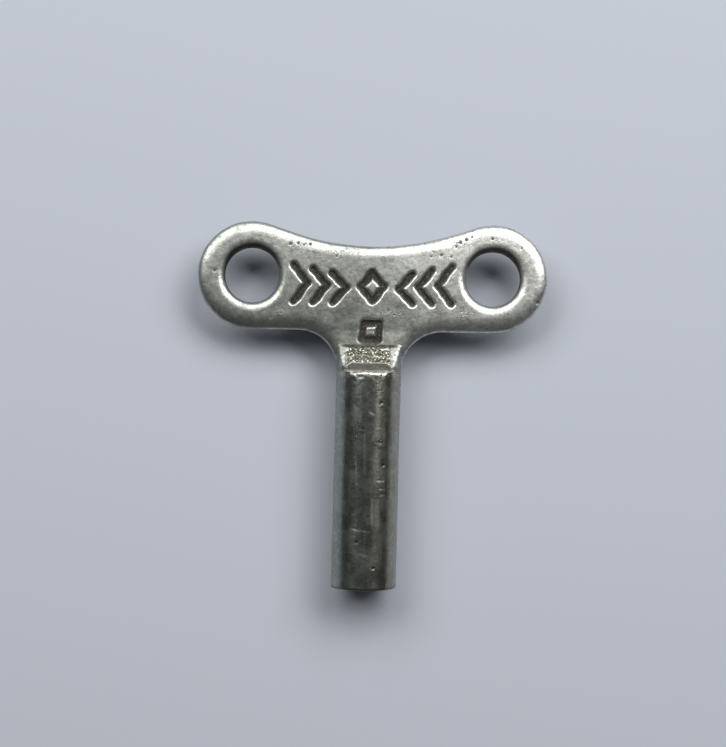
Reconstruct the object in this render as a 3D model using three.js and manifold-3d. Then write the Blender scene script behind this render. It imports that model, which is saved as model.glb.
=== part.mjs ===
// Radiator bleed key: a one-hand T key for the square stem of a radiator's air valve.
//
// It is three pieces: a flat cast bow with two ring eyes and a square tang, a round shank
// tube with a square bore, and the fillet of braze that joins them at the neck. The tang
// fills the upper end of the bore, and what is left below it is the socket.
//
// Units are millimetres. The key lies flat, as on a bench: +Z is up, and +Y runs along the
// shank from the socket's mouth to the bow. The origin is the centre of the base of the
// key's box, so the shank rests on z = 0.

import * as THREE from "three";
import { mergeVertices } from "three/addons/utils/BufferGeometryUtils.js";
import Module from "manifold-3d";

const wasm = await Module();
wasm.setup();

// ---- Driving dimensions -------------------------------------------------------------

const KEY_LENGTH = 51.4; // outer edge of the rings to the mouth of the socket

const EYE_PITCH = 34.0; // between the centres of the two eyes
const EYE_RADIUS = 3.85;
const RING_RADIUS = 7.6; // outside of the ring round each eye
const BOW_THICKNESS = 2.6;
const RIM_ROUND_WIDTH = 1.2; // how far the rounded rim reaches in from the outline
const RIM_ROUND_DEPTH = 1.0; // and how far it falls from the face
const WAIST_HEIGHT = 4.1; // lowest point of the top edge, above the line of the eyes
const SHOULDER_SLOPE = THREE.MathUtils.degToRad(18); // top edge between ring and waist
const NECK_FILLET_RADIUS = 5.6; // in plan, between the bow and the shank

const SHANK_RADIUS = 4.6;
const RUB_DEPTH = 0.05; // the shank is rubbed flat by this, above and below, where it lies
const SOCKET_WIDTH = 5.1; // across flats, for a 5 mm square stem
const SOCKET_DEPTH = 12.0;
const SOCKET_LEAD_IN = 0.3; // chamfer at the socket's mouth
const MOUTH_CHAMFER = 0.35; // outer edge of the tube at the mouth
const TANG_WIDTH = 5.0;

// The neck in side view: stations below the line of the eyes, and the half height there.
const RAMP_FOOT = 10.1; // the ramp leaves the flat face of the bow
const RAMP_TOP = 11.95;
const RAMP_TOP_HEIGHT = 2.94;
const TUBE_RIM = 13.35; // where the tube begins
const BRAZE_TOP_HEIGHT = 3.58; // of the fillet, where it meets the tube's rim
const RIM_DROP = 0.3; // the tube's upper end is rounded over by this in radius
const RIM_REACH = 0.8; // over this length

const SEAM_RADIUS = 4.35; // the neck is turned down to this behind the rim
const SEAM_WIDTH = 0.45; // and the braze fills the groove all round
const JOINT_GAP = 0.04; // left between the faces of two pieces

const MARK_DEPTH = 0.45; // of the debossed marks
const MARK_STROKE = 0.8;
const CHEVRONS_PER_SIDE = 3;
const FIRST_CHEVRON_TIP = 3.7; // from the middle of the bow
const CHEVRON_STEP = 2.75;
const CHEVRON_REACH = 1.9; // from its tip to the ends of its arms
const FIRST_CHEVRON_HEIGHT = 4.6;
const CHEVRON_GROWTH = 0.55; // each chevron outwards is taller by this
const LOZENGE_WIDTH = 4.2;
const LOZENGE_HEIGHT = 5.0;
const BAND_BOTTOM = -3.9; // the band of marks stands on this line, below the eyes
const SQUARE_MARK_SIZE = 3.4;
const SQUARE_MARK_CENTRE = -8.0; // below the line of the eyes

const ARC_SEGMENTS = 24; // in each arc of the bow's outline
const ROUND_SEGMENTS = 48; // round the shank, each a flat that touches the true circle
const RIM_SEGMENTS = 3; // across the rounded rim
const OVERCUT = 1; // how far a cutter reaches past the face that it cuts

// ---- Derived places, in the lying key's frame with z = 0 on the shank's axis ----------

const EYE_LINE = KEY_LENGTH / 2 - RING_RADIUS;
const MOUTH = -KEY_LENGTH / 2;
const SOCKET_FLOOR = MOUTH + SOCKET_DEPTH;
const FACE = BOW_THICKNESS / 2;
const below = (distance) => EYE_LINE - distance;

// ---- Solids ---------------------------------------------------------------------------

// A closed three.js geometry as a manifold-3d solid.
function solid(geometry) {
  const bare = new THREE.BufferGeometry();
  bare.setAttribute("position", geometry.getAttribute("position"));
  bare.setIndex(geometry.index);
  const merged = mergeVertices(bare, 1e-4);
  return new wasm.Manifold(
    new wasm.Mesh({
      numProp: 3,
      vertProperties: merged.attributes.position.array,
      triVerts: new Uint32Array(merged.index.array),
    }),
  );
}

// A manifold-3d solid as a three.js geometry with flat-shaded faces.
function geometryOf(body) {
  const { vertProperties, triVerts } = body.getMesh();
  const indexed = new THREE.BufferGeometry()
    .setAttribute("position", new THREE.BufferAttribute(vertProperties, 3))
    .setIndex(new THREE.BufferAttribute(triVerts, 1));
  const geometry = indexed.toNonIndexed();
  geometry.computeVertexNormals();
  return geometry;
}

// A box given by its size and the range of y that it covers, centred on the shank's axis.
function boxAlongShank(width, height, yLow, yHigh) {
  const box = new THREE.BoxGeometry(width, yHigh - yLow, height);
  return solid(box.translate(0, (yLow + yHigh) / 2, 0));
}

// A round bar is a prism whose flats touch the true circle, turned so that one flat is
// underneath: the key rests on it, as a worn shank rests on its rubbed underside.
const HALF_FLAT_ANGLE = Math.PI / ROUND_SEGMENTS;
const cornerRadius = (radius) => radius / Math.cos(HALF_FLAT_ANGLE);

// A round bar on the shank's axis.
function barAlongShank(radius, yLow, yHigh) {
  const corner = cornerRadius(radius);
  const bar = new THREE.CylinderGeometry(corner, corner, yHigh - yLow, ROUND_SEGMENTS);
  return solid(bar.rotateY(HALF_FLAT_ANGLE).translate(0, (yLow + yHigh) / 2, 0));
}

// The side view [y, half height] mirrored about the axis and extruded right across the key.
function sideProfile(stations) {
  const upper = stations.map(([y, height]) => new THREE.Vector2(y, height));
  const lower = stations.map(([y, height]) => new THREE.Vector2(y, -height)).reverse();
  const depth = 4 * SHANK_RADIUS;
  const slab = new THREE.ExtrudeGeometry(new THREE.Shape([...lower, ...upper]), {
    depth,
    bevelEnabled: false,
  });
  slab.translate(0, 0, -depth / 2);
  // The outline's x runs along the key, its y is up, and its depth runs across.
  const turn = new THREE.Matrix4().makeBasis(
    new THREE.Vector3(0, 1, 0),
    new THREE.Vector3(0, 0, 1),
    new THREE.Vector3(1, 0, 0),
  );
  return solid(slab.applyMatrix4(turn));
}

// ---- The bow ----------------------------------------------------------------------------

// Plan of the bow, round the line of the eyes: ring, shoulder, waist, shoulder, ring, then
// the straight underside and the two fillets that bring it down to the width of the shank.
function bowOutline() {
  const eyeX = EYE_PITCH / 2;
  const ringEnd = Math.PI / 2 + SHOULDER_SLOPE;
  const shoulderX = eyeX + RING_RADIUS * Math.cos(ringEnd);
  const shoulderY = RING_RADIUS * Math.sin(ringEnd);
  // The waist is the arc through its lowest point that the straight shoulder runs into.
  const drop = shoulderY - WAIST_HEIGHT - shoulderX * Math.tan(SHOULDER_SLOPE);
  const waistRadius = -drop / (1 / Math.cos(SHOULDER_SLOPE) - 1);
  const waistY = WAIST_HEIGHT + waistRadius;
  const waistStart = -Math.PI / 2 + SHOULDER_SLOPE;
  const filletX = SHANK_RADIUS + NECK_FILLET_RADIUS;
  const filletY = -RING_RADIUS - NECK_FILLET_RADIUS;
  // The plan stops just above the groove for the braze.
  const foot = -TUBE_RIM + SEAM_WIDTH + 2 * JOINT_GAP;
  const footAngle = Math.asin((foot - filletY) / NECK_FILLET_RADIUS);

  const outline = new THREE.Shape();
  outline.absarc(filletX, filletY, NECK_FILLET_RADIUS, Math.PI - footAngle, Math.PI / 2, true);
  outline.absarc(eyeX, 0, RING_RADIUS, -Math.PI / 2, ringEnd, false);
  outline.absarc(0, waistY, waistRadius, waistStart, -Math.PI - waistStart, true);
  outline.absarc(-eyeX, 0, RING_RADIUS, Math.PI - ringEnd, (3 * Math.PI) / 2, false);
  outline.absarc(-filletX, filletY, NECK_FILLET_RADIUS, Math.PI / 2, footAngle, true);
  outline.closePath();
  for (const side of [-1, 1]) {
    const eye = new THREE.Path();
    eye.absarc(side * eyeX, 0, EYE_RADIUS, 0, 2 * Math.PI, true);
    outline.holes.push(eye);
  }
  return outline;
}

// The flat plate of the bow, with its rims rounded over outside and in the eyes.
function bowPlate() {
  const plate = new THREE.ExtrudeGeometry(bowOutline(), {
    depth: BOW_THICKNESS - 2 * RIM_ROUND_DEPTH,
    curveSegments: ARC_SEGMENTS,
    bevelThickness: RIM_ROUND_DEPTH,
    bevelSize: RIM_ROUND_WIDTH,
    bevelOffset: -RIM_ROUND_WIDTH,
    bevelSegments: RIM_SEGMENTS,
  });
  plate.translate(0, EYE_LINE, -FACE + RIM_ROUND_DEPTH);
  return solid(plate);
}

// The neck: the round of the shank, cut away by a ramp above and below, then the groove for
// the braze.
function bowNeck() {
  const slope = (RAMP_TOP_HEIGHT - FACE) / (RAMP_TOP - RAMP_FOOT);
  const rootHeight = FACE / 4; // the ramp runs on down to here inside the plate
  const rampRoot = RAMP_FOOT - (FACE - rootHeight) / slope;
  const grooveTop = below(TUBE_RIM - SEAM_WIDTH);
  const neckEnd = below(TUBE_RIM - JOINT_GAP);
  const ramp = sideProfile([
    [below(rampRoot), rootHeight],
    [below(RAMP_TOP), RAMP_TOP_HEIGHT],
    [grooveTop, RAMP_TOP_HEIGHT],
  ]).intersect(barAlongShank(SHANK_RADIUS, grooveTop, below(rampRoot)));
  const seam = barAlongShank(SEAM_RADIUS, neckEnd, below(RAMP_TOP)).intersect(
    boxAlongShank(2 * SHANK_RADIUS, 2 * RAMP_TOP_HEIGHT, neckEnd, below(RAMP_TOP)),
  );
  return ramp.add(seam);
}

// ---- The debossed marks on the bow's upper face ---------------------------------------

function chevron(side, place) {
  const tip = FIRST_CHEVRON_TIP + place * CHEVRON_STEP;
  const halfHeight = (FIRST_CHEVRON_HEIGHT + place * CHEVRON_GROWTH) / 2;
  const end = tip + CHEVRON_REACH;
  const halfStroke = MARK_STROKE / 2 / Math.sin(Math.atan2(halfHeight, CHEVRON_REACH));
  const centre = BAND_BOTTOM + halfHeight;
  return new THREE.Shape(
    [
      [tip - halfStroke, 0],
      [end - halfStroke, halfHeight],
      [end + halfStroke, halfHeight],
      [tip + halfStroke, 0],
      [end + halfStroke, -halfHeight],
      [end - halfStroke, -halfHeight],
    ].map(([x, y]) => new THREE.Vector2(side * x, centre + y)),
  );
}

// A groove along the outline of a regular or squashed four-cornered figure.
function frame(corners, innerShare) {
  const outer = new THREE.Shape(corners.map(([x, y]) => new THREE.Vector2(x, y)));
  const inner = corners.map(([x, y]) => new THREE.Vector2(x * innerShare, y * innerShare));
  outer.holes.push(new THREE.Path(inner));
  return outer;
}

function lozenge() {
  const across = LOZENGE_WIDTH / 2;
  const up = LOZENGE_HEIGHT / 2;
  const flatToCentre = (across * up) / Math.hypot(across, up);
  const corners = [
    [across, 0],
    [0, up],
    [-across, 0],
    [0, -up],
  ];
  return frame(corners, 1 - MARK_STROKE / flatToCentre);
}

function squareMark() {
  const half = SQUARE_MARK_SIZE / 2;
  const corners = [
    [half, half],
    [-half, half],
    [-half, -half],
    [half, -half],
  ];
  return frame(corners, 1 - MARK_STROKE / half);
}

// The solid that cuts one mark, centred the given height above the line of the eyes.
function markCutter(shape, height) {
  const cutter = new THREE.ExtrudeGeometry(shape, {
    depth: 2 * MARK_DEPTH,
    bevelEnabled: false,
  });
  return solid(cutter.translate(0, EYE_LINE + height, FACE - MARK_DEPTH));
}

function markCutters() {
  const cutters = [
    markCutter(lozenge(), BAND_BOTTOM + LOZENGE_HEIGHT / 2),
    markCutter(squareMark(), SQUARE_MARK_CENTRE),
  ];
  for (const side of [-1, 1]) {
    for (let place = 0; place < CHEVRONS_PER_SIDE; place++) {
      cutters.push(markCutter(chevron(side, place), 0));
    }
  }
  return cutters;
}

function bow() {
  const tang = boxAlongShank(TANG_WIDTH, TANG_WIDTH, SOCKET_FLOOR, below(RAMP_TOP));
  let body = bowPlate().add(bowNeck()).add(tang);
  for (const cutter of markCutters()) body = body.subtract(cutter);
  return body;
}

// ---- The shank tube -----------------------------------------------------------------------

// The tube's upper end is rounded over, with most of the drop in its last half.
function shankTube() {
  const rim = below(TUBE_RIM);
  const round = new THREE.LatheGeometry(
    [
      [0, MOUTH],
      [SHANK_RADIUS - MOUTH_CHAMFER, MOUTH],
      [SHANK_RADIUS, MOUTH + MOUTH_CHAMFER],
      [SHANK_RADIUS, rim - RIM_REACH],
      [SHANK_RADIUS - RIM_DROP / 4, rim - RIM_REACH / 2],
      [SHANK_RADIUS - RIM_DROP, rim],
      [0, rim],
    ].map(([radius, y]) => new THREE.Vector2(cornerRadius(radius), y)),
    ROUND_SEGMENTS,
  ).rotateY(HALF_FLAT_ANGLE);
  const rubbed = boxAlongShank(
    2 * (SHANK_RADIUS + OVERCUT),
    2 * (SHANK_RADIUS - RUB_DEPTH),
    MOUTH - OVERCUT,
    rim + OVERCUT,
  );
  const bore = boxAlongShank(SOCKET_WIDTH, SOCKET_WIDTH, MOUTH - OVERCUT, rim + OVERCUT);
  // A four-sided frustum, turned by 45 degrees so that its flats face as the bore's do.
  const leadIn = new THREE.CylinderGeometry(
    SOCKET_WIDTH / Math.SQRT2,
    SOCKET_WIDTH / Math.SQRT2 + 2 * SOCKET_LEAD_IN * Math.SQRT2,
    2 * SOCKET_LEAD_IN,
    4,
  );
  leadIn.rotateY(Math.PI / 4).translate(0, MOUTH, 0);
  return solid(round).intersect(rubbed).subtract(bore).subtract(solid(leadIn));
}

// ---- The braze ------------------------------------------------------------------------------

// A fillet above and below, between the end of the ramp and the tube's rim, and between
// them the ring of braze that fills the groove.
function neckBraze() {
  const tubeSide = below(TUBE_RIM - 2 * JOINT_GAP);
  const rampTop = below(RAMP_TOP);
  const grooveTop = below(TUBE_RIM - SEAM_WIDTH + JOINT_GAP);
  const clearWidth = 2 * (SHANK_RADIUS + OVERCUT);
  const clearHeight = 2 * (RAMP_TOP_HEIGHT + JOINT_GAP);
  const behind = tubeSide - OVERCUT;
  const beyond = rampTop + OVERCUT;
  const outside = sideProfile([
    [rampTop, RAMP_TOP_HEIGHT],
    [tubeSide, BRAZE_TOP_HEIGHT],
  ]).intersect(barAlongShank(SHANK_RADIUS, tubeSide, rampTop));
  const core = barAlongShank(SEAM_RADIUS + JOINT_GAP, behind, beyond).intersect(
    boxAlongShank(clearWidth, clearHeight, behind, beyond),
  );
  const neck = boxAlongShank(clearWidth, clearHeight, grooveTop, beyond);
  return outside.subtract(core).subtract(neck);
}

// ---- The key ---------------------------------------------------------------------------------

function piece(name, body, color, roughness) {
  const material = new THREE.MeshStandardMaterial({ color, roughness, metalness: 1 });
  const mesh = new THREE.Mesh(geometryOf(body), material);
  mesh.name = name;
  return mesh;
}

const key = new THREE.Group();
key.position.z = SHANK_RADIUS - RUB_DEPTH;
key.add(
  piece("bow", bow(), 0xa6a498, 0.4),
  piece("shank_tube", shankTube(), 0x6b6f6a, 0.35),
  piece("neck_braze", neckBraze(), 0x87857a, 0.45),
);

export default key;
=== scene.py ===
import itertools
import math

import bpy
import numpy as np
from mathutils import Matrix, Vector


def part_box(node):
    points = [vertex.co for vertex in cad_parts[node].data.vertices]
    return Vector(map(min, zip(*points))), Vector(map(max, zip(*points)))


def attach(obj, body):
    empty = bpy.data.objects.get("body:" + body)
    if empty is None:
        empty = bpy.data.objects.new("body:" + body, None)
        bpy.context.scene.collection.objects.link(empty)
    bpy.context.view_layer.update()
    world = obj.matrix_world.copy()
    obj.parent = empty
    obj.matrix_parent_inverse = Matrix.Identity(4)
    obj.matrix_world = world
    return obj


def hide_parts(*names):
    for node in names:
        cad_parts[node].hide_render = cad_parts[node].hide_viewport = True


# The looks of a radiator bleed key that lies flat on a pale table: a worn nickel-plated cast
# bow, a smoother plated tube and the dull fillet of braze between them.

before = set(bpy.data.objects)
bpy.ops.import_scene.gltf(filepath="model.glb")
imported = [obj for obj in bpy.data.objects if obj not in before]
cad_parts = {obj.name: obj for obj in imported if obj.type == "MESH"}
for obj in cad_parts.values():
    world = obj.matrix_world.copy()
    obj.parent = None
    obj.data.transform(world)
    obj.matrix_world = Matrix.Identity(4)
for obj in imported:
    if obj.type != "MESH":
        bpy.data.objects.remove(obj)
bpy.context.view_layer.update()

# ---- Measures in millimetres, with the places taken from the frame -------------------------

MM = 0.001


def box_mm(node):
    return [Vector(corner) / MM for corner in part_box(node)]


bow_low, bow_high = box_mm("bow")
tube_low, tube_high = box_mm("shank_tube")
braze_high = box_mm("neck_braze")[1]

RING_RADIUS = 7.6           # outside of the rings at the bow's two ends
EYE_RADIUS = 3.85           # and of the holes in them
SHANK_RADIUS = tube_high.x
AXIS_Z = (tube_low.z + tube_high.z) / 2
RUBBED_HEIGHT = tube_high.z - AXIS_Z      # half the height between the shank's rubbed flats
EYE_X = bow_high.x - RING_RADIUS
EYE_LINE = bow_high.y - RING_RADIUS

# From here on v is the place along the key measured from the line of the eyes, positive away
# from the shank, and z is the height above the shank's axis.
MOUTH = tube_low.y - EYE_LINE
TUBE_RIM = tube_high.y - EYE_LINE
TANG_END = bow_low.y - EYE_LINE
RAMP_TOP = braze_high.y - EYE_LINE
RAMP_TOP_HEIGHT = bow_high.z - AXIS_Z
BRAZE_TOP_HEIGHT = braze_high.z - AXIS_Z

FACE = 1.3                  # half the thickness of the bow
CROWN = 0.30                # the faces fall by this from the line of the eyes to the edges
FACE_LOW = 0.75             # whatever stands higher than this belongs to the upper face
RIM_REACH = 1.75            # the rim at the bow's top edge is rounded over this far inwards
RIM_DROP = 0.72             # and falls this far from the face
LOWER_RIM_REACH = 2.3       # the same for the rim on the shank's side
LOWER_RIM_DROP = 1.0
UPPER_RIM_ENDS = 2.0        # below this v the one rim turns into the other
LOWER_RIM_BEGINS = -6.0     # and has turned into it here
LIP_REACH = 1.35            # the same for the lip of an eye
LIP_DROP = 0.85
WAIST_HEIGHT = 4.3          # lowest point of the top edge, above the line of the eyes
SHOULDER_SLOPE = math.radians(18)
NECK_FILLET = 5.6
RAMP_FOOT = -10.1
GROOVE_TOP = -12.82         # the neck is turned down below this for the braze
SEAM_RADIUS = 3.9           # of the neck inside the braze
SEAM_END_GAP = 0.04         # between that and the tube's rim
SEAM_OVERLAP = 0.05         # how far it runs on into the neck
FUNNEL_ROUND = 0.5          # softness of the edges where the ramp cuts the round of the neck
RAMP_CREASE = 0.03          # softness of the crease at the ramp's foot
SIDE_SLOPE = 0.64           # the ramp is less steep at its two sides
SIDE_FROM = 2.2             # from here
SIDE_TO = 3.5               # to here, outwards from the middle
TANG_HALF = 2.5
TANG_EASE = 0.15            # the tang's edges are cut off by this
TANG_TIP_SHARE = 0.94       # of its width is left at its very end
TANG_ROOT = 0.3             # how far it starts inside the neck

MARK_DEPTH = 0.45
MARK_HALF_STROKE = 0.50
MARK_WAVER = 0.05           # how far a stroke's edge strays from straight
MARK_LIP = 0.30             # softness of the grooves' lips
MARK_FULLNESS = 2.3         # 2 would make the grooves' section half an ellipse
BAND_BOTTOM = -3.9
CHEVRONS = 3
FIRST_CHEVRON_TIP = 3.7
CHEVRON_STEP = 2.75
CHEVRON_REACH = 1.9
FIRST_CHEVRON_HALF_HEIGHT = 2.3
CHEVRON_GROWTH = 0.275      # of the half height, from one chevron to the next
LOZENGE_HALF_WIDTH = 1.65   # to the middle of the stroke
LOZENGE_HALF_HEIGHT = 2.0
SQUARE_MARK_CENTRE = -7.65
SQUARE_MARK_HALF = 1.15

SOCKET_HALF = 2.55
SOCKET_LEAD_IN = 0.3
TUBE_RIM_DROP = 0.3         # the tube's upper edge is rounded over by this in radius
TUBE_RIM_REACH = 0.5        # and over this length
RIM_FULL_AT = 0.93          # of the height above the axis: the rounding is full from here up
RIM_FADES_AT = 0.72         # and has faded out here, where the braze fills the joint flush
MOUTH_ROUND = 0.3

# The real key is a little crooked: its shank stands off to one side and leans.
NECK_SHIFT = -0.30
NECK_SHIFT_FROM = -5.0
NECK_SHIFT_TO = -12.0
LEAN = math.tan(math.radians(0.45))
TAPER = 0.04                # the tube's radius is this much less at the rim than at the mouth
NECK_RADIUS = SHANK_RADIUS - TAPER


# ---- Noise and small helpers ------------------------------------------------------------------

def smooth_step(low, high, value):
    share = np.clip((value - low) / (high - low), 0, 1)
    return share * share * (3 - 2 * share)


def fades(value, full_to, gone_at):
    """1 up to one value, and falling smoothly to 0 at a greater one."""
    return smooth_step(-gone_at, -full_to, -value)


def smooth_max(a, b, soft):
    share = np.clip(0.5 + 0.5 * (a - b) / soft, 0, 1)
    return b + (a - b) * share + soft * share * (1 - share)


def smooth_min(a, b, soft):
    return -smooth_max(-a, -b, soft)


NOISE_TABLE = 4096          # random numbers behind each noise, a power of two


def noise(points, size, seed):
    """Smooth noise from -1 to 1 at an array of points, with bumps about size mm across."""
    table = np.random.default_rng(seed).uniform(-1, 1, NOISE_TABLE)
    cell = np.floor(points / size).astype(np.int64)
    part = points / size - cell
    part = part * part * (3 - 2 * part)
    total = np.zeros(len(points))
    for corner in itertools.product((0, 1), repeat=3):
        weight = np.prod(np.where(corner, part, 1 - part), axis=1)
        place = cell + corner
        key = (place[:, 0] * 73856093) ^ (place[:, 1] * 19349663) ^ (place[:, 2] * 83492791)
        total += weight * table[key & (NOISE_TABLE - 1)]
    return total


def from_middle(points, x, v, half_length=1.0, half_width=1.0):
    """Distance in plan from an ellipse's middle, as a share of the way to its edge."""
    return np.hypot((points[:, 0] - x) / half_length, (points[:, 1] - v) / half_width)


def on_upper_face(points):
    return points[:, 2] > FACE_LOW


def crooked(points):
    """The points in the frame's millimetres, with the shank's shift and lean."""
    v = points[:, 1]
    shift = NECK_SHIFT * fades(v, NECK_SHIFT_TO, NECK_SHIFT_FROM)
    shift = shift - LEAN * np.maximum(TUBE_RIM - v, 0)
    return points + np.column_stack([shift, np.full(len(v), EYE_LINE), np.full(len(v), AXIS_Z)])


def mesh_object(name, points, faces, attributes):
    """A smooth-shaded object from points in key millimetres, with one float per point each."""
    mesh = bpy.data.meshes.new(name)
    mesh.from_pydata((crooked(points) * MM).tolist(), [], faces.tolist())
    for key, values in attributes.items():
        layer = mesh.attributes.new(key, "FLOAT", "POINT")
        layer.data.foreach_set("value", np.ascontiguousarray(values, dtype=np.float32))
    mesh.shade_smooth()
    piece = bpy.data.objects.new(name, mesh)
    bpy.context.scene.collection.objects.link(piece)
    return piece


# ---- Surfaces from a field that is negative inside the metal --------------------------------

BOW_STEP = 0.14             # size of the grid's cells for each piece
BRAZE_STEP = 0.08
GRID_MARGIN = 0.4           # how far a grid reaches past its shape
TIGHT_MARGIN = 0.3          # and how far where the room is less


def surface_net(field, low, high, step):
    """Points and four-cornered faces of the field's zero surface inside a box."""
    axes = [np.arange(a, b + step, step) for a, b in zip(low, high)]
    values = field(axes[0][:, None, None], axes[1][None, :, None], axes[2][None, None, :])
    values = np.broadcast_to(values, [len(axis) for axis in axes])
    cells = tuple(n - 1 for n in values.shape)
    corners = {}
    for corner in itertools.product((0, 1), repeat=3):
        window = tuple(slice(c, c + n) for c, n in zip(corner, cells))
        corners[corner] = values[window]
    count = sum((value < 0).astype(np.int8) for value in corners.values())
    mixed = (count > 0) & (count < 8)
    index = np.full(cells, -1)
    index[mixed] = np.arange(mixed.sum())

    # A cell's point is the mean of the places where the surface crosses its edges.
    total = np.zeros((mixed.sum(), 3))
    crossings = np.zeros(mixed.sum())
    for axis in range(3):
        for start in corners:
            if start[axis]:
                continue
            end = tuple(1 if i == axis else c for i, c in enumerate(start))
            a = corners[start][mixed]
            b = corners[end][mixed]
            crossed = (a < 0) != (b < 0)
            place = np.tile(np.array(start, float), (len(a), 1))
            place[:, axis] = np.where(crossed, a / np.where(crossed, a - b, 1), 0)
            total += place * crossed[:, None]
            crossings += crossed
    origin = np.array([axis[0] for axis in axes])
    points = origin + (np.argwhere(mixed) + total / crossings[:, None]) * step

    # Each grid edge that the surface crosses makes one face from the four cells round it.
    faces = []
    for axis in range(3):
        one, two = [other for other in range(3) if other != axis]
        before = [slice(1, -1)] * 3
        after = [slice(1, -1)] * 3
        before[axis] = slice(0, -1)
        after[axis] = slice(1, None)
        first = values[tuple(before)] < 0
        crossed = first != (values[tuple(after)] < 0)
        spots = np.argwhere(crossed)
        outwards = first[crossed]
        spots[:, one] += 1
        spots[:, two] += 1
        around = []
        for back_one, back_two in ((1, 1), (0, 1), (0, 0), (1, 0)):
            spot = spots.copy()
            spot[:, one] -= back_one
            spot[:, two] -= back_two
            around.append(index[tuple(spot.T)])
        quads = np.column_stack(around)
        flip = outwards if axis == 1 else ~outwards
        quads[flip] = quads[flip][:, ::-1]
        faces.append(quads)
    return points, np.concatenate(faces)


def gradient(field, points, reach=0.02):
    slopes = []
    for axis in range(3):
        ahead = points.copy()
        behind = points.copy()
        ahead[:, axis] += reach
        behind[:, axis] -= reach
        slopes.append((field(*ahead.T) - field(*behind.T)) / (2 * reach))
    return np.column_stack(slopes)


def settled(field, points, rounds=3, longest=0.06):
    """Points moved onto the field's zero surface, and the surface's normals there."""
    for _ in range(rounds):
        slope = gradient(field, points)
        size = np.maximum((slope**2).sum(axis=1), 0.05)
        move = -field(*points.T) / size
        step = slope * move[:, None]
        length = np.linalg.norm(step, axis=1)
        points = points + step * np.minimum(1, longest / np.maximum(length, 1e-9))[:, None]
    slope = gradient(field, points)
    return points, slope / np.maximum(np.linalg.norm(slope, axis=1), 1e-9)[:, None]


# ---- The bow's shape -----------------------------------------------------------------------

def outline_distance(x, v):
    """How far a place in plan lies outside the bow, negative inside it."""
    x = np.abs(x)
    sine, cosine = math.sin(SHOULDER_SLOPE), math.cos(SHOULDER_SLOPE)
    ring = np.hypot(x - EYE_X, v) - RING_RADIUS
    # The top edge runs from the ring down a straight shoulder into the arc of the waist.
    shoulder = -(x - EYE_X) * sine + v * cosine - RING_RADIUS
    past_ring = -(x - EYE_X) * cosine - v * sine
    shoulder_x = EYE_X - RING_RADIUS * sine
    drop = RING_RADIUS * cosine - WAIST_HEIGHT - shoulder_x * sine / cosine
    waist_radius = -drop / (1 / cosine - 1)
    waist_v = WAIST_HEIGHT + waist_radius
    waist = waist_radius - np.hypot(x, v - waist_v)
    past_shoulder = -x * cosine - (v - waist_v) * sine
    top = np.where(past_ring < 0, ring, np.where(past_shoulder > 0, waist, shoulder))
    # The underside runs from the ring along a straight into the fillet at the neck.
    fillet_x = SHANK_RADIUS + NECK_FILLET
    fillet_v = -RING_RADIUS - NECK_FILLET
    fillet = NECK_FILLET - np.hypot(x - fillet_x, v - fillet_v)
    below = np.where(x > EYE_X, ring, np.where(x > fillet_x, -RING_RADIUS - v, fillet))
    return np.maximum(np.maximum(top, below), GROOVE_TOP - v)


def eye_distance(x, v):
    return EYE_RADIUS - np.hypot(np.abs(x) - EYE_X, v)


def face_height(v):
    return FACE - CROWN * np.minimum((v / RING_RADIUS) ** 2, 1)


def rounded_rim(outside, v, z, reach, drop):
    """A plate whose edge is a quarter of an ellipse, reach mm wide and drop mm high."""
    across = np.maximum(1 + outside / reach, 0)
    up = np.maximum((np.abs(z) - (face_height(v) - drop)) / drop, 0)
    return (np.hypot(across, up) - 1) * drop


def segment_distance(x, v, start, end):
    along_x, along_v = end[0] - start[0], end[1] - start[1]
    length = along_x**2 + along_v**2
    share = np.clip(((x - start[0]) * along_x + (v - start[1]) * along_v) / length, 0, 1)
    return np.hypot(x - start[0] - share * along_x, v - start[1] - share * along_v)


def mark_distance(x, v):
    """Distance in plan to the middle of the nearest stroke of the debossed marks."""
    waver = MARK_WAVER * (np.sin(2.3 * x + 1.1 * v) + 0.6 * np.sin(4.1 * v - 1.7 * x))
    x = np.abs(x)
    lozenge_up = np.abs(v - BAND_BOTTOM - LOZENGE_HALF_HEIGHT - MARK_HALF_STROKE)
    nearest = segment_distance(x, lozenge_up, (LOZENGE_HALF_WIDTH, 0), (0, LOZENGE_HALF_HEIGHT))
    square_up = np.abs(v - SQUARE_MARK_CENTRE)
    for start, end in (((1, 0), (1, 1)), ((0, 1), (1, 1))):
        corners = [(a * SQUARE_MARK_HALF, b * SQUARE_MARK_HALF) for a, b in (start, end)]
        nearest = np.minimum(nearest, segment_distance(x, square_up, *corners))
    for place in range(CHEVRONS):
        tip = FIRST_CHEVRON_TIP + place * CHEVRON_STEP
        half_height = FIRST_CHEVRON_HALF_HEIGHT + place * CHEVRON_GROWTH
        up = np.abs(v - BAND_BOTTOM - half_height)
        arm_end = (tip + CHEVRON_REACH, half_height - MARK_HALF_STROKE / 2)
        nearest = np.minimum(nearest, segment_distance(x, up, (tip, 0), arm_end))
    return np.maximum(nearest + waver, 0)


def groove_field(x, v, z):
    """The marks' grooves, with a section a little fuller than half an ellipse."""
    across = mark_distance(x, v) / MARK_HALF_STROKE
    down = np.maximum(face_height(v) - z, 0) / MARK_DEPTH
    power = MARK_FULLNESS
    return ((across**power + down**power) ** (1 / power) - 1) * MARK_HALF_STROKE


def ramp_height(x, v):
    steep = (RAMP_TOP_HEIGHT - FACE) / (RAMP_FOOT - RAMP_TOP)
    slope = steep + (SIDE_SLOPE - steep) * smooth_step(SIDE_FROM, SIDE_TO, np.abs(x))
    return FACE + slope * (RAMP_FOOT - v)


def neck_field(x, v, z):
    ramp = np.minimum(ramp_height(x, v), RAMP_TOP_HEIGHT)
    body = smooth_max(np.hypot(x, z) - NECK_RADIUS, np.abs(z) - ramp, FUNNEL_ROUND)
    return np.maximum(body, GROOVE_TOP - v)


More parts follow.
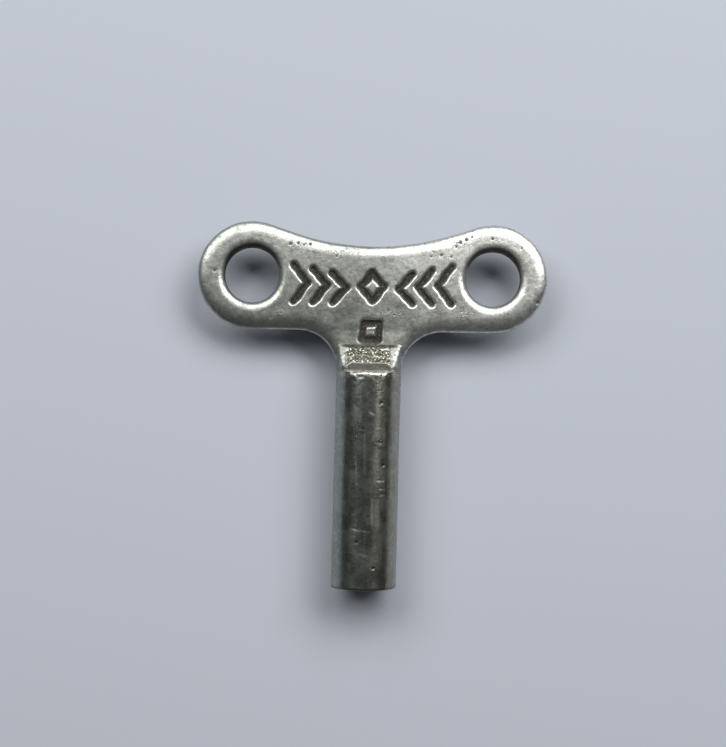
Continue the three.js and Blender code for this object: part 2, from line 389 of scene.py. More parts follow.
def seam_field(x, v, z):
    """The slimmer neck that the braze goes round."""
    body = np.maximum(np.hypot(x, z) - SEAM_RADIUS, np.abs(z) - RAMP_TOP_HEIGHT)
    return np.maximum(body, np.maximum(TUBE_RIM + SEAM_END_GAP - v, v - GROOVE_TOP - SEAM_OVERLAP))


def bow_field(x, v, z):
    lower = fades(v, LOWER_RIM_BEGINS, UPPER_RIM_ENDS)
    reach = RIM_REACH + (LOWER_RIM_REACH - RIM_REACH) * lower
    drop = RIM_DROP + (LOWER_RIM_DROP - RIM_DROP) * lower
    plate = rounded_rim(outline_distance(x, v), v, z, reach, drop)
    plate = np.maximum(plate, rounded_rim(eye_distance(x, v), v, z, LIP_REACH, LIP_DROP))
    body = smooth_min(plate, neck_field(x, v, z), RAMP_CREASE)
    body = np.minimum(body, seam_field(x, v, z))
    return smooth_max(body, -groove_field(x, v, z), MARK_LIP)


# Pits and knocks in the face of the bow: x, v, radius and depth.
BOW_PITS = [
    (-11.6, 4.5, 0.28, 0.10), (-10.5, 4.6, 0.24, 0.09), (-9.7, 4.4, 0.22, 0.07),
    (-8.8, 4.5, 0.26, 0.09), (11.7, 4.5, 0.24, 0.09), (12.3, 5.1, 0.30, 0.11),
    (13.1, 5.5, 0.28, 0.10), (13.9, 5.9, 0.24, 0.08), (8.2, 3.0, 0.22, 0.06),
    (9.6, 3.2, 0.26, 0.08), (11.0, 3.0, 0.24, 0.07), (23.3, -3.2, 0.32, 0.20),
    (2.3, -4.7, 0.24, 0.08), (-22.2, 0.6, 0.30, 0.08), (-14.2, -5.9, 0.26, 0.06),
    (16.8, 5.7, 0.25, 0.07), (-5.1, 2.9, 0.22, 0.05), (20.9, 4.4, 0.22, 0.06),
]

# Zones where the face is finely pitted: x, v, half length and half width.
PITTED_ZONES = [
    (12.3, 5.0, 2.6, 1.1), (9.2, 3.2, 3.0, 0.9), (-10.2, 4.5, 2.8, 0.8), (13.2, -5.0, 2.2, 1.0),
    (-12.6, -4.9, 1.9, 0.9), (2.6, -5.0, 3.2, 0.9), (-4.0, 3.6, 4.0, 0.8),
]
PITTED_ELSEWHERE = 0.12

# The casting's grain on the ramp: where it starts, is full, wanes and ends, as values of v.
GRAIN_FROM = -9.65
GRAIN_FULL = -9.95
GRAIN_WANES = -11.65
GRAIN_ENDS = -12.0
GRAIN_HALF_WIDTH = 2.5      # the grain is full up to here, outwards from the middle
GRAIN_QUIET_SIDE = 3.4      # and from here on only the share below is left
GRAIN_SIDE_SHARE = 0.2
SMOOTH_FROM = -11.7         # the casting's waves fade between here
SMOOTH_AT = -12.1           # and here, so that nothing pokes through the braze

# The ramp's bright speckle, partly painted sparkle highlights, reaches this far to the sides, give or
# take the waver.
SPECKLE_HALF_WIDTH = 3.0
SPECKLE_WAVER = 0.35

# Dirt: a line along the ramp's foot and a smear between it and the square mark.
FOOT_DIRT_ABOVE = 0.40      # the line's middle is this far from the foot, towards the eyes
SMEAR = (0, -9.35, 2.3, 0.8)    # x, v, half length and half width


def pitted(points):
    share = np.full(len(points), PITTED_ELSEWHERE)
    for zone in PITTED_ZONES:
        share = np.maximum(share, fades(from_middle(points, *zone), 0.2, 1.0))
    return share * on_upper_face(points)


def bow_grain(points):
    """The casting's unevenness in mm, coarse everywhere and rougher on the ramps."""
    v = points[:, 1]
    side = fades(np.abs(points[:, 0]), GRAIN_HALF_WIDTH, GRAIN_QUIET_SIDE)
    middle = GRAIN_SIDE_SHARE + (1 - GRAIN_SIDE_SHARE) * side
    on_ramp = fades(v, GRAIN_FULL, GRAIN_FROM) * (1 - fades(v, GRAIN_ENDS, GRAIN_WANES)) * middle
    on_ramp = on_ramp * (np.abs(points[:, 2]) > FACE_LOW)
    waves = 0.030 * noise(points, 3.1, 11) + 0.018 * noise(points, 1.4, 12)
    grain = 0.006 * noise(points, 0.6, 13)
    lumps = 0.045 * noise(points, 0.50, 14) + 0.075 * noise(points, 0.27, 15)
    at_joint = fades(v, SMOOTH_AT, SMOOTH_FROM)
    return (waves + grain) * (1 - at_joint) + on_ramp * lumps


def pitting(points, pits, height):
    """How deep the listed pits go at each point that lies above a height."""
    depth = np.zeros(len(points))
    for x, v, radius, deep in pits:
        away = np.hypot(points[:, 0] - x, points[:, 1] - v) / radius
        depth = np.maximum(depth, deep * np.clip(1 - away**2, 0, 1) * (points[:, 2] > height))
    return depth


def tang_box():
    """The square tang, a plain box with its edges cut off, as points and faces."""
    corner = TANG_HALF - TANG_EASE
    ring = []
    for a, b in ((1, 1), (-1, 1), (-1, -1), (1, -1)):
        pair = [(a * TANG_HALF, b * corner), (a * corner, b * TANG_HALF)]
        ring += pair if a * b > 0 else pair[::-1]
    stations = [(RAMP_TOP - TANG_ROOT, 1), (TANG_END + TANG_EASE, 1), (TANG_END, TANG_TIP_SHARE)]
    points = [(x * size, v, z * size) for v, size in stations for x, z in ring]
    sides = len(ring)
    faces = []
    for row in range(len(stations) - 1):
        for i in range(sides):
            a, b = row * sides + i, row * sides + (i + 1) % sides
            faces.append((b, a, a + sides, b + sides))
    caps = []
    for first, turn in ((0, 1), ((len(stations) - 1) * sides, -1)):
        for i in range(1, sides - 2, 2):
            caps.append((first, first + i, first + i + 1, first + i + 2)[::turn])
    return np.array(points), np.array(faces + caps)


def bow_soil(points, groove, pits):
    """Dirt in the marks, along the ramp's foot, above it and in the pits, from 0 to 1."""
    sunk = smooth_step(0.06, 0.34, face_height(points[:, 1]) - points[:, 2])
    in_marks = sunk * fades(groove, 0.38, 0.62)
    foot = fades(np.abs(points[:, 1] - RAMP_FOOT - FOOT_DIRT_ABOVE), 0.12, 0.36)
    foot = foot * on_upper_face(points) * fades(np.abs(points[:, 0]), 3.4, 4.6)
    smear = fades(from_middle(points, *SMEAR), 0.35, 1.0) * on_upper_face(points)
    caked = np.maximum(foot, smear) * (0.9 + 0.1 * noise(points, 0.5, 16))
    return np.maximum(np.maximum(in_marks, caked), np.clip(pits / 0.05, 0, 0.8))


def ramp_patch(points):
    """The speckled patch of the ramps, with wavering sides: the casting's grain with painted sparkle
    highlights.
    """
    half_width = SPECKLE_HALF_WIDTH + SPECKLE_WAVER * noise(points, 0.8, 18)
    along = fades(points[:, 1], GRAIN_FULL, GRAIN_FROM)
    patch = along * smooth_step(-0.4, 0.1, half_width - np.abs(points[:, 0]))
    return patch * (np.abs(points[:, 2]) > FACE_LOW)


def mark_rust(points):
    """Brown stain round the square mark."""
    around = fades(from_middle(points, 0, SQUARE_MARK_CENTRE), 1.2, 3.0)
    return around * smooth_step(-0.2, 0.5, noise(points, 1.1, 17))


def painted_eye_shade(points, normals, wall):
    """Painted shade: the dark walls of the eyes, and the sides of their lips that face the shank,
    away from the light.
    """
    hole = eye_distance(points[:, 0], points[:, 1])
    shaded_lip = smooth_step(-1.0, -0.45, hole) * smooth_step(0.10, 0.40, -normals[:, 1])
    return np.maximum(smooth_step(-0.5, -0.1, hole) * wall, shaded_lip)


def make_bow():
    side = EYE_X + RING_RADIUS + GRID_MARGIN
    height = RAMP_TOP_HEIGHT + TIGHT_MARGIN
    low = (-side, TUBE_RIM - TIGHT_MARGIN, -height)
    high = (side, RING_RADIUS + GRID_MARGIN, height)
    points, faces = surface_net(bow_field, low, high, BOW_STEP)
    points, normals = settled(bow_field, points)
    groove = mark_distance(points[:, 0], points[:, 1])
    pits = pitting(points, BOW_PITS, FACE_LOW)
    soil_and_shade = bow_soil(points, groove, pits)
    ramp = ramp_patch(points)
    rust = mark_rust(points)
    # Painted shade: the steep side walls are darkened, standing in for their shade and dark
    # reflections.
    wall = smooth_step(0.25, 0.85, 1 - np.abs(normals[:, 2]))
    # Painted shade in the eyes' walls and on their lips that face away from the light.
    eye_shade = painted_eye_shade(points, normals, wall)
    # Lighter lips round the marks: partly wear, partly a painted highlight.
    crest = smooth_step(0.42, 0.5, groove) * fades(groove, 0.55, 0.85)
    points = points + normals * (bow_grain(points) - pits)[:, None]
    attributes = {
        "soil_and_shade": soil_and_shade,
        # Painted light: the bow grows lighter towards its right side, where more light falls.
        "right_side_light": smooth_step(-19, 17, points[:, 0]),
        "rust": rust,
        "wall": wall,
        "eye_shade": eye_shade,
        "ramp": ramp,
        "crest": crest * on_upper_face(points),
        "pitted": pitted(points),
        # Painted shade: the bow's underside is darkened.
        "under": smooth_step(0.2, 0.9, -points[:, 2]),
    }
    tang_points, tang_faces = tang_box()
    faces = np.concatenate([faces, tang_faces + len(points)])
    points = np.concatenate([points, tang_points])
    blank = np.zeros(len(tang_points))
    attributes = {key: np.concatenate([values, blank]) for key, values in attributes.items()}
    return mesh_object("bow_cast", points, faces, attributes)


# ---- The tube's shape -------------------------------------------------------------------------

AROUND = 192                # points round the tube
ALONG_STEP = 0.14           # from ring to ring on the plain stretch
EDGE_RINGS = 8              # at each rounded end
MOUTH_RINGS = 8             # across the mouth's face
RIM_RINGS = 3               # across the rim's face
BORE_RINGS = 24             # from the mouth to the tang
TANG_RINGS = 10             # beside the tang
SQUARENESS = 24             # power of the superellipse that makes the bore's section
ROUNDING_SHARE = 0.999      # of a quarter circle, so that a rounded edge doesn't end upright
RUB_ROUND = 0.12            # softness of the edges of the rubbed flat

# Scratches along or across the upper side of the tube: both ends in x and v, then depth.
TUBE_SCRATCHES = [
    ((0.2, -18.8), (0.9, -19.2), 0.04), ((1.5, -23.1), (2.0, -23.3), 0.03),
    ((1.7, -28.4), (2.4, -28.5), 0.04), ((1.9, -29.5), (2.6, -29.7), 0.04),
    ((-1.8, -35.1), (0.5, -35.6), 0.035), ((-0.4, -22.0), (-0.2, -27.5), 0.02),
    ((0.9, -31.0), (1.0, -34.6), 0.02), ((-1.5, -25.0), (-1.3, -29.0), 0.018),
    ((2.0, -30.4), (2.6, -30.5), 0.035), ((-0.9, -38.6), (0.4, -38.9), 0.03),
]
SCRATCH_HALF_WIDTH = 0.16

# Pits in its upper side: x, v, radius and depth.
TUBE_PITS = [
    (1.9, -17.6, 0.30, 0.06), (-0.6, -21.2, 0.26, 0.05), (2.3, -26.3, 0.28, 0.06),
    (0.4, -33.4, 0.24, 0.05), (-1.1, -37.0, 0.30, 0.06), (1.3, -40.6, 0.26, 0.06),
]


def rounding(share):
    """How far a rounded edge has fallen at a share of its reach, as a share of its drop."""
    return 1 - np.sqrt(1 - share**2 * ROUNDING_SHARE)


def tube_radius(v, sine):
    """The outer radius, with both ends rounded over, the rim only above and below."""
    down = np.clip((v - (TUBE_RIM - TUBE_RIM_REACH)) / TUBE_RIM_REACH, 0, 1)
    up = np.clip(((MOUTH + MOUTH_ROUND) - v) / MOUTH_ROUND, 0, 1)
    at_rim = smooth_step(RIM_FADES_AT, RIM_FULL_AT, np.abs(sine)) * TUBE_RIM_DROP
    slimmer = TAPER * (v - MOUTH) / (TUBE_RIM - MOUTH)
    return SHANK_RADIUS - at_rim * rounding(down) - MOUTH_ROUND * rounding(up) - slimmer


def tube_rings(cosine, sine):
    """Rings of one closed skin, each a radius and a place along the key: the outside from the
    rim to the mouth, the mouth's face, the bore back up, and the rim's face."""
    square = (np.abs(cosine) ** SQUARENESS + np.abs(sine) ** SQUARENESS) ** (-1 / SQUARENESS)
    ease = 0.5 - 0.5 * np.cos(np.pi * np.linspace(0, 1, EDGE_RINGS))
    upper = TUBE_RIM - TUBE_RIM_REACH * ease
    lower = MOUTH + MOUTH_ROUND * ease[::-1]
    middle = np.arange(upper[-1] - ALONG_STEP, lower[0] + ALONG_STEP / 2, -ALONG_STEP)
    outer = [(tube_radius(v, sine), v) for v in np.concatenate([upper, middle, lower])]
    mouth_outer = outer[-1][0]
    mouth_inner = (SOCKET_HALF + SOCKET_LEAD_IN) * square
    face = []
    for share in np.linspace(0, 1, MOUTH_RINGS + 1)[1:]:
        face.append((mouth_outer + (mouth_inner - mouth_outer) * share, MOUTH))
    bore_places = np.concatenate([
        MOUTH + SOCKET_LEAD_IN * np.array([0.5, 1.0, 1.15]),
        np.linspace(MOUTH + 0.6, TANG_END + 0.5, BORE_RINGS),
        np.linspace(TANG_END + 1.5, TUBE_RIM, TANG_RINGS),
    ])
    inner = []
    for v in bore_places:
        wider = max(0.0, MOUTH + SOCKET_LEAD_IN - v)
        inner.append(((SOCKET_HALF + wider) * square, v))
    rim_outer = outer[0][0]
    rim_inner = inner[-1][0]
    for share in np.linspace(0, 1, RIM_RINGS + 2)[1:-1]:
        inner.append((rim_inner + (rim_outer - rim_inner) * share, TUBE_RIM))
    return outer, face, inner


def make_tube():
    turn = 2 * math.pi * np.arange(AROUND) / AROUND
    cosine, sine = np.cos(turn), np.sin(turn)
    outer, face, inner = tube_rings(cosine, sine)
    rings = outer + face + inner
    radius = np.array([ring[0] for ring in rings])
    along = np.array([ring[1] for ring in rings])[:, None] * np.ones(AROUND)
    points = np.stack([radius * cosine, along, radius * sine], axis=2).reshape(-1, 3)
    skin = np.repeat(np.arange(len(rings)) < len(outer), AROUND).astype(float)
    inside = np.repeat(np.arange(len(rings)) >= len(outer) + len(face), AROUND).astype(float)

    # Wear on the outside only: long dents, fine lumps near the rim, scratches and pits.
    stretched = points * (1, 0.35, 1)
    from_rim = points[:, 1] - TUBE_RIM
    near_rim = smooth_step(-1.9, -0.4, from_rim)
    lift = 0.016 * noise(stretched, 1.9, 21) + 0.008 * noise(stretched, 0.8, 22)
    side = np.tile(cosine**2, len(rings))
    lift = lift * (1 - side * smooth_step(-0.9, -0.4, from_rim))
    lumps = 0.045 * noise(points, 0.5, 23) + 0.035 * noise(points, 0.3, 24)
    lift += (1 - side) * near_rim * lumps
    scratched = np.zeros(len(points))
    for start, end, deep in TUBE_SCRATCHES:
        away = segment_distance(points[:, 0], points[:, 1], start, end) / SCRATCH_HALF_WIDTH
        scratched = np.maximum(scratched, deep * np.clip(1 - away**2, 0, 1) * (points[:, 2] > 0))
    pits = pitting(points, TUBE_PITS, 0)
    outward = np.stack([np.tile(cosine, len(rings)), np.tile(sine, len(rings))], axis=1)
    points[:, [0, 2]] += outward * ((lift - scratched - pits) * skin)[:, None]
    points[:, 2] = np.maximum(smooth_min(points[:, 2], RUBBED_HEIGHT, RUB_ROUND), -RUBBED_HEIGHT)

    row, column = np.meshgrid(np.arange(len(rings)), np.arange(AROUND), indexing="ij")
    next_row = (row + 1) % len(rings)
    next_column = (column + 1) % AROUND
    corners = ((row, column), (row, next_column), (next_row, next_column), (next_row, column))
    faces = np.stack([r * AROUND + c for r, c in corners], axis=2).reshape(-1, 4)
    at_rim = smooth_step(-1.2, -0.2, from_rim) * skin
    # Painted shade: the outside's last half millimetre at the mouth is darkened, standing in for the
    # dark reflection of the shadowed floor.
    mouth_shade = smooth_step(-0.5, -0.1, MOUTH - points[:, 1]) * skin
    attributes = {
        # Soil in the pits, and painted shade at the mouth.
        "soil_and_shade": np.maximum(np.clip(pits / 0.06, 0, 0.8), 0.75 * mouth_shade),
        "bare": np.clip(scratched / 0.035, 0, 1),
        # Wear at the rim, and a painted highlight along it.
        "rim_wear_and_highlight": at_rim * (1 - side),
        "bore": inside,
        "mouth": (1 - skin) * (1 - inside),
        "across": points[:, 0] / SHANK_RADIUS,
    }
    return mesh_object("shank_turned", points, faces, attributes)


# ---- The braze ----------------------------------------------------------------------------------

BRAZE_BITE = 0.02           # the braze metal wets the ramp by this
BRAZE_COVER = 0.012         # and stands this proud of its neighbours at the sides
BRAZE_FEATHER = 0.30        # it reaches this far over them
FEATHER_THINS = 0.25        # and thins there by this much times the distance squared
FEATHER_THINS_TO = 0.4      # up to this distance
FEATHER_LEAD = 0.1          # and starts to thin this far before its neighbours' edges
LEDGE_RISE = 0.03           # its ledge lies this much above the top of the ramp
LEDGE_SHARE = 0.86          # of its length is ledge, and the rest climbs to the tube's rim
CORE_GAP = 0.05             # its hollow ends this far below the height of the ramp's top


def braze_field(x, v, z):
    share = np.clip((RAMP_TOP + BRAZE_BITE - v) / (RAMP_TOP + BRAZE_BITE - TUBE_RIM), 0, 1)
    rim_climb = BRAZE_TOP_HEIGHT - RAMP_TOP_HEIGHT - LEDGE_RISE
    ledge = RAMP_TOP_HEIGHT + LEDGE_RISE + rim_climb * smooth_step(LEDGE_SHARE, 1, share)
    height = np.minimum(ledge, ramp_height(x, v) + BRAZE_COVER)
    beyond = np.maximum(TUBE_RIM + FEATHER_LEAD - v, 0) + np.maximum(v - GROOVE_TOP + FEATHER_LEAD, 0)
    radius = NECK_RADIUS + BRAZE_COVER - FEATHER_THINS * np.minimum(beyond, FEATHER_THINS_TO) ** 2
    body = smooth_max(np.hypot(x, z) - radius, np.abs(z) - height, FUNNEL_ROUND)
    body = np.maximum(body, TUBE_RIM - BRAZE_FEATHER - v)
    body = np.maximum(body, v - RAMP_TOP - BRAZE_BITE)
    # The hollow for the neck: its full width above the groove, and its core in the groove.
    neck = np.maximum(np.abs(z) - RAMP_TOP_HEIGHT + CORE_GAP, GROOVE_TOP + BRAZE_FEATHER - v)
    core = np.maximum(np.hypot(x, z) - SEAM_RADIUS, np.abs(z) - RAMP_TOP_HEIGHT + CORE_GAP)
    return np.maximum(body, -np.minimum(neck, core))


def make_braze():
    side = SHANK_RADIUS + TIGHT_MARGIN
    height = BRAZE_TOP_HEIGHT + GRID_MARGIN
    low = (-side, TUBE_RIM - (BRAZE_FEATHER + TIGHT_MARGIN), -height)
    high = (side, RAMP_TOP + GRID_MARGIN, height)
    points, faces = surface_net(braze_field, low, high, BRAZE_STEP)
    points, normals = settled(braze_field, points, longest=0.03)
    lift = 0.02 * noise(points, 0.9, 31) + 0.012 * noise(points, 0.4, 32)
    lift = lift * smooth_step(2.2, 2.9, np.abs(points[:, 2]))
    points = points + normals * lift[:, None]
    filled = smooth_step(2.0, 3.0, np.abs(points[:, 2]))
    at_rim = smooth_step(0.90, 0.98, (RAMP_TOP - points[:, 1]) / (RAMP_TOP - TUBE_RIM))
    # The rim share marks wear and a painted highlight.
    return mesh_object("neck_fillet", points, faces, {"filled": filled, "rim_wear_and_highlight": at_rim * filled})


# ---- Materials ---------------------------------------------------------------------------------

def colour_socket(sockets, name):
    """A Mix node has sockets of the same name for numbers, vectors and colours."""
    return next(socket for socket in sockets if socket.name == name and socket.type == "RGBA")


def limits(node, *numbers):
    """Sets a Map Range node's limits: from low, from high, and then to low, to high."""
    for key, number in zip(("From Min", "From Max", "To Min", "To Max"), numbers):
        node.inputs[key].default_value = number


class Shader:
    """A node tree with a Principled BSDF and short ways to add to it."""

    def __init__(self, name):
        self.material = bpy.data.materials.new(name)
        self.material.use_nodes = True
        self.nodes = self.material.node_tree.nodes
        self.links = self.material.node_tree.links
        self.surface = self.nodes["Principled BSDF"]
        coordinates = self.nodes.new("ShaderNodeTexCoord")
        self.places = self.nodes.new("ShaderNodeMapping")
        self.places.inputs["Scale"].default_value = (1 / MM,) * 3
        self.links.new(coordinates.outputs["Object"], self.places.inputs["Vector"])

    def plug(self, value, socket):
        """Links an output to a socket, or sets a constant on it."""
        if isinstance(value, bpy.types.NodeSocket):
            self.links.new(value, socket)
        else:
            socket.default_value = value

    def stretched(self, scale):
        mapping = self.nodes.new("ShaderNodeMapping")
        mapping.inputs["Scale"].default_value = scale
        self.links.new(self.places.outputs["Vector"], mapping.inputs["Vector"])
        return mapping.outputs["Vector"]

    def noise(self, per_mm, detail, roughness, vector=None):
        node = self.nodes.new("ShaderNodeTexNoise")
        node.inputs["Scale"].default_value = per_mm
        node.inputs["Detail"].default_value = detail
        node.inputs["Roughness"].default_value = roughness
        self.links.new(vector or self.places.outputs["Vector"], node.inputs["Vector"])
        return node.outputs["Fac"]

    def attribute(self, name):
        node = self.nodes.new("ShaderNodeAttribute")
        node.attribute_name = name
        return node.outputs["Fac"]

    def ramp(self, value, low, high, to_low=0.0, to_high=1.0):
        node = self.nodes.new("ShaderNodeMapRange")
        node.interpolation_type = "SMOOTHSTEP"
        self.plug(value, node.inputs["Value"])
        limits(node, low, high, to_low, to_high)
        return node.outputs["Result"]

    def math(self, operation, a, b):
        node = self.nodes.new("ShaderNodeMath")
        node.operation = operation
        self.plug(a, node.inputs[0])
        self.plug(b, node.inputs[1])
        return node.outputs["Value"]

    def times(self, a, b):
        return self.math("MULTIPLY", a, b)

    def plus(self, a, b):
        return self.math("ADD", a, b)

    def mix(self, share, a, b):
        """Between two colours."""
        node = self.nodes.new("ShaderNodeMix")
        node.data_type = "RGBA"
        self.plug(share, node.inputs["Factor"])
        self.plug(a, colour_socket(node.inputs, "A"))
        self.plug(b, colour_socket(node.inputs, "B"))
        return colour_socket(node.outputs, "Result")

    def bump(self, height, distance_mm, strength, under=None):
        node = self.nodes.new("ShaderNodeBump")
        node.inputs["Strength"].default_value = strength
        node.inputs["Distance"].default_value = distance_mm * MM
        self.plug(height, node.inputs["Height"])
        if under is not None:
            self.links.new(under, node.inputs["Normal"])
        return node.outputs["Normal"]

    def finish(self, color, roughness, metallic, normal):
        self.plug(color, self.surface.inputs["Base Color"])
        self.plug(roughness, self.surface.inputs["Roughness"])
        self.plug(metallic, self.surface.inputs["Metallic"])
        self.links.new(normal, self.surface.inputs["Normal"])
        return self.material


def cast_nickel():
    """Worn nickel plate on a casting: grey-gold, mottled, grainy, with dark soil in the marks."""
    s = Shader("cast_nickel")
    clouds = s.noise(0.45, 4, 0.6)
    grain = s.noise(1.5, 3, 0.6)
    speckle = s.noise(3.0, 3, 0.75)
    mottle = s.noise(2.4, 3, 0.7)
    fine = s.noise(4.0, 2, 0.5)
    patches = s.noise(0.16, 2, 0.5)
    pinholes = s.noise(2.6, 3, 0.75)
    soil_and_shade, wall, rust = s.attribute("soil_and_shade"), s.attribute("wall"), s.attribute("rust")
    eye_shade, ramp, crest = s.attribute("eye_shade"), s.attribute("ramp"), s.attribute("crest")

    light_plate, grey_plate = (0.59, 0.61, 0.565, 1), (0.455, 0.48, 0.43, 1)
    dull_plate = (0.40, 0.43, 0.38, 1)
    right_side_highlight = (0.88, 0.885, 0.83, 1)
    dark_grain, dark_mottle = (0.25, 0.26, 0.22, 1), (0.22, 0.235, 0.195, 1)
    ramp_sparkle, ramp_grain_dark = (0.84, 0.82, 0.72, 1), (0.13, 0.125, 0.098, 1)
    underside_shade, wall_shade = (0.24, 0.24, 0.21, 1), (0.24, 0.23, 0.20, 1)
    eye_shade_colour, crest_wear_and_highlight = (0.08, 0.075, 0.06, 1), (0.80, 0.77, 0.68, 1)
    soil_black, soil_brown = (0.034, 0.032, 0.027, 1), (0.062, 0.045, 0.032, 1)
    pinhole_dark = (0.10, 0.10, 0.078, 1)

    # Painted light: a lighter plate colour blended in towards the bow's right side.
    right_side_light = s.ramp(s.attribute("right_side_light"), 0.35, 1.0, 0.0, 0.66)
    color = s.mix(s.ramp(clouds, 0.35, 0.68), light_plate, grey_plate)
    color = s.mix(s.ramp(patches, 0.42, 0.62, 0, 0.6), color, dull_plate)
    color = s.mix(right_side_light, color, right_side_highlight)
    color = s.mix(s.ramp(grain, 0.52, 0.68, 0, 0.6), color, dark_grain)
    color = s.mix(s.ramp(mottle, 0.50, 0.60, 0, 0.35), color, dark_mottle)
    # The casting's grain on the ramp, with painted sparkle highlights.
    sparkle_speckle = s.mix(s.ramp(speckle, 0.41, 0.49), ramp_sparkle, ramp_grain_dark)
    color = s.mix(ramp, color, sparkle_speckle)
    # Painted shade on the underside.
    color = s.mix(s.times(s.attribute("under"), 0.6), color, underside_shade)
    # Painted shade on the side walls.
    color = s.mix(s.times(wall, s.ramp(clouds, 0.3, 0.7, 0.35, 0.85)), color, wall_shade)
    # Painted shade in the eyes.
    color = s.mix(s.times(eye_shade, 0.85), color, eye_shade_colour)
    # The marks' lips: partly wear, partly a painted highlight.
    color = s.mix(s.times(crest, s.ramp(fine, 0.35, 0.6, 0.0, 0.35)), color, crest_wear_and_highlight)
    dirt = s.mix(s.times(rust, s.ramp(grain, 0.4, 0.6)), soil_black, soil_brown)
    color = s.mix(s.times(soil_and_shade, s.ramp(fine, 0.2, 0.5, 0.75, 1.0)), color, dirt)
    pits = s.times(s.attribute("pitted"), s.ramp(pinholes, 0.53, 0.61))
    color = s.mix(s.times(pits, 0.8), color, pinhole_dark)

    rough = s.ramp(clouds, 0.3, 0.7, 0.34, 0.43)
    rough = s.plus(rough, s.ramp(grain, 0.45, 0.7, 0.0, 0.12))
    rough = s.plus(rough, s.times(soil_and_shade, 0.35))
    metallic = s.math("SUBTRACT", 1.0, s.times(soil_and_shade, 0.45))
    normal = s.bump(grain, 0.06, 0.55)
    normal = s.bump(fine, 0.012, 0.5, under=normal)
    normal = s.bump(s.times(speckle, ramp), 0.14, 0.8, under=normal)
    normal = s.bump(s.math("SUBTRACT", 1.0, pits), 0.03, 0.5, under=normal)
    return s.finish(color, rough, metallic, normal)


def turned_nickel():
    """The tube's smoother plate: darker, streaked along its length, worn bright at the rim, with a
    painted highlight there.
    """
    s = Shader("turned_nickel")
    clouds = s.noise(0.35, 4, 0.6)
    streaks = s.noise(1.6, 3, 0.6, vector=s.stretched((1.0, 0.10, 1.0)))
    specks = s.noise(2.6, 3, 0.65)
    mottle = s.noise(1.2, 4, 0.65, vector=s.stretched((1.0, 1.5, 1.0)))
    fine = s.noise(7.0, 2, 0.6, vector=s.stretched((1.0, 0.3, 1.0)))
    soil_and_shade, rim_wear_and_highlight, bore = s.attribute("soil_and_shade"), s.attribute("rim_wear_and_highlight"), s.attribute("bore")
    across, bare, mouth = s.attribute("across"), s.attribute("bare"), s.attribute("mouth")

    green, brown = (0.25, 0.275, 0.245, 1), (0.28, 0.26, 0.21, 1)
    pale_cloud, dark_streak = (0.36, 0.38, 0.34, 1), (0.24, 0.24, 0.20, 1)
    pale_mottle, dark_speck = (0.40, 0.43, 0.38, 1), (0.12, 0.105, 0.08, 1)
    bright_rim_and_highlight, bare_metal = (0.86, 0.83, 0.74, 1), (0.80, 0.78, 0.72, 1)
    soil_black, mouth_plate = (0.045, 0.04, 0.032, 1), (0.50, 0.48, 0.42, 1)
    bore_dark = (0.07, 0.055, 0.04, 1)

    color = s.mix(s.ramp(across, -0.3, 0.5), green, brown)
    color = s.mix(s.ramp(clouds, 0.4, 0.65, 0, 0.6), color, pale_cloud)
    color = s.mix(s.ramp(streaks, 0.5, 0.75, 0, 0.55), color, dark_streak)
    color = s.mix(s.ramp(mottle, 0.50, 0.64, 0, 0.6), color, pale_mottle)
    color = s.mix(s.ramp(specks, 0.60, 0.70, 0, 0.75), color, dark_speck)
    # Rim worn bright, partly a painted highlight.
    color = s.mix(s.times(rim_wear_and_highlight, s.ramp(specks, 0.38, 0.55, 0.95, 0.4)), color, bright_rim_and_highlight)
    color = s.mix(s.times(bare, s.ramp(fine, 0.3, 0.6, 0.2, 0.8)), color, bare_metal)
    # Soil in the pits and painted shade at the mouth's edge.
    color = s.mix(s.times(soil_and_shade, 0.9), color, soil_black)
    color = s.mix(s.times(mouth, s.ramp(specks, 0.35, 0.6, 0.9, 0.5)), color, mouth_plate)
    color = s.mix(s.times(bore, 0.85), color, bore_dark)

    rough = s.ramp(clouds, 0.3, 0.7, 0.25, 0.32)
    rough = s.plus(rough, s.ramp(streaks, 0.5, 0.8, 0.0, 0.10))
    rough = s.plus(rough, s.times(bore, 0.3))
    metallic = s.math("SUBTRACT", 1.0, s.times(bore, 0.5))
    normal = s.bump(specks, 0.05, 0.6)
    normal = s.bump(fine, 0.010, 0.5, under=normal)
    return s.finish(color, rough, metallic, normal)


def braze_metal():
    """Dull braze metal, oxidised in the joint, rubbed light at the rim with a painted highlight
    there, plated at the sides.
    """
    s = Shader("braze_metal")
    lumps = s.noise(1.8, 3, 0.6)
    fine = s.noise(5.0, 2, 0.6)
    filled, rim_wear_and_highlight = s.attribute("filled"), s.attribute("rim_wear_and_highlight")

    light_braze, grey_braze = (0.34, 0.34, 0.305, 1), (0.23, 0.225, 0.195, 1)
    oxide, rubbed_rim_and_highlight = (0.09, 0.085, 0.07, 1), (0.80, 0.78, 0.70, 1)
    side_plate = (0.27, 0.285, 0.25, 1)

    dull = s.mix(s.ramp(lumps, 0.35, 0.65), light_braze, grey_braze)
    dull = s.mix(s.ramp(fine, 0.52, 0.68, 0, 0.6), dull, oxide)
    # Rim rubbed light, partly a painted highlight.
    dull = s.mix(s.times(rim_wear_and_highlight, 0.7), dull, rubbed_rim_and_highlight)
    color = s.mix(filled, side_plate, dull)
    rough = s.ramp(lumps, 0.3, 0.7, 0.32, 0.44)
    normal = s.bump(lumps, 0.05, 0.6)
    normal = s.bump(fine, 0.03, 0.7, under=normal)
    return s.finish(color, rough, 0.9, normal)


# ---- Floor, light and camera -----------------------------------------------------------------

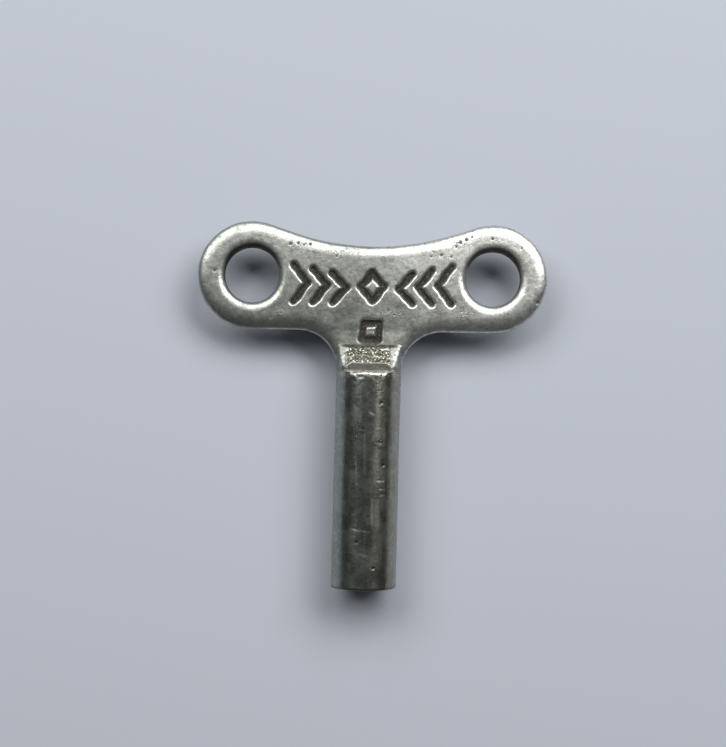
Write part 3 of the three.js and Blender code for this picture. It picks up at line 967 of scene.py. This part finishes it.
def make_floor():
    bpy.ops.mesh.primitive_plane_add(size=6, location=(0, 0, 0))
    floor = bpy.context.object
    floor.name = "floor"
    material = bpy.data.materials.new("pale_floor")
    material.use_nodes = True
    surface = material.node_tree.nodes["Principled BSDF"]
    surface.inputs["Base Color"].default_value = (0.46, 0.49, 0.55, 1)
    surface.inputs["Roughness"].default_value = 0.75
    floor.data.materials.append(material)


def make_softbox(name, place, size, power):
    """A wide soft light aimed at the middle of the key."""
    data = bpy.data.lights.new(name, "AREA")
    data.shape = "RECTANGLE"
    data.size, data.size_y = size
    data.energy = power
    softbox = bpy.data.objects.new(name, data)
    bpy.context.scene.collection.objects.link(softbox)
    softbox.location = place
    softbox.rotation_euler = (-Vector(place)).to_track_quat("-Z", "Y").to_euler()


def make_world(overhead, horizon):
    """A dark room, a little lighter overhead than at the horizon."""
    world = bpy.data.worlds.new("room")
    bpy.context.scene.world = world
    world.use_nodes = True
    nodes, links = world.node_tree.nodes, world.node_tree.links
    coordinates = nodes.new("ShaderNodeTexCoord")
    split = nodes.new("ShaderNodeSeparateXYZ")
    share = nodes.new("ShaderNodeMapRange")
    share.interpolation_type = "SMOOTHSTEP"
    limits(share, 0.2, 0.9)     # of the sine of the elevation
    mix = nodes.new("ShaderNodeMix")
    mix.data_type = "RGBA"
    links.new(coordinates.outputs["Generated"], split.inputs["Vector"])
    links.new(split.outputs["Z"], share.inputs["Value"])
    links.new(share.outputs["Result"], mix.inputs["Factor"])
    colour_socket(mix.inputs, "A").default_value = horizon
    colour_socket(mix.inputs, "B").default_value = overhead
    links.new(colour_socket(mix.outputs, "Result"), nodes["Background"].inputs["Color"])


def make_camera():
    """Straight down on the key, with a long lens and the key turned a little."""
    frame_height = 105.6 * MM   # what the frame's long side covers at the shank's axis
    camera_height = 232 * MM
    roll = math.radians(1.05)
    aim = Vector((-1.1 * MM, 4.5 * MM, AXIS_Z * MM))
    data = bpy.data.cameras.new("camera")
    camera = bpy.data.objects.new("camera", data)
    bpy.context.scene.collection.objects.link(camera)
    data.sensor_width = 36
    data.lens = data.sensor_width * camera_height / frame_height
    data.clip_start, data.clip_end = 0.01, 20
    camera.location = aim + Vector((0, 0, camera_height))
    camera.rotation_euler = (0, 0, roll)
    bpy.context.scene.camera = camera


# ---- The key --------------------------------------------------------------------------------------

def dress(piece, node, material):
    piece.data.materials.append(material)
    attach(piece, "root")
    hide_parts(node)


dress(make_bow(), "bow", cast_nickel())
dress(make_tube(), "shank_tube", turned_nickel())
dress(make_braze(), "neck_braze", braze_metal())
make_floor()
# Both softboxes stand behind the bow, about 45 degrees up from the key.
SOFTBOX_SIZE = (0.60, 0.345)
make_softbox("softbox_left", place=(-0.288, 0.412, 0.511), size=SOFTBOX_SIZE, power=3.35)
make_softbox("softbox_right", place=(0.309, 0.396, 0.511), size=SOFTBOX_SIZE, power=4.7)
make_world(overhead=(0.065, 0.067, 0.07, 1), horizon=(0.045, 0.046, 0.049, 1))
make_camera()
bpy.context.scene.view_settings.view_transform = "Standard"
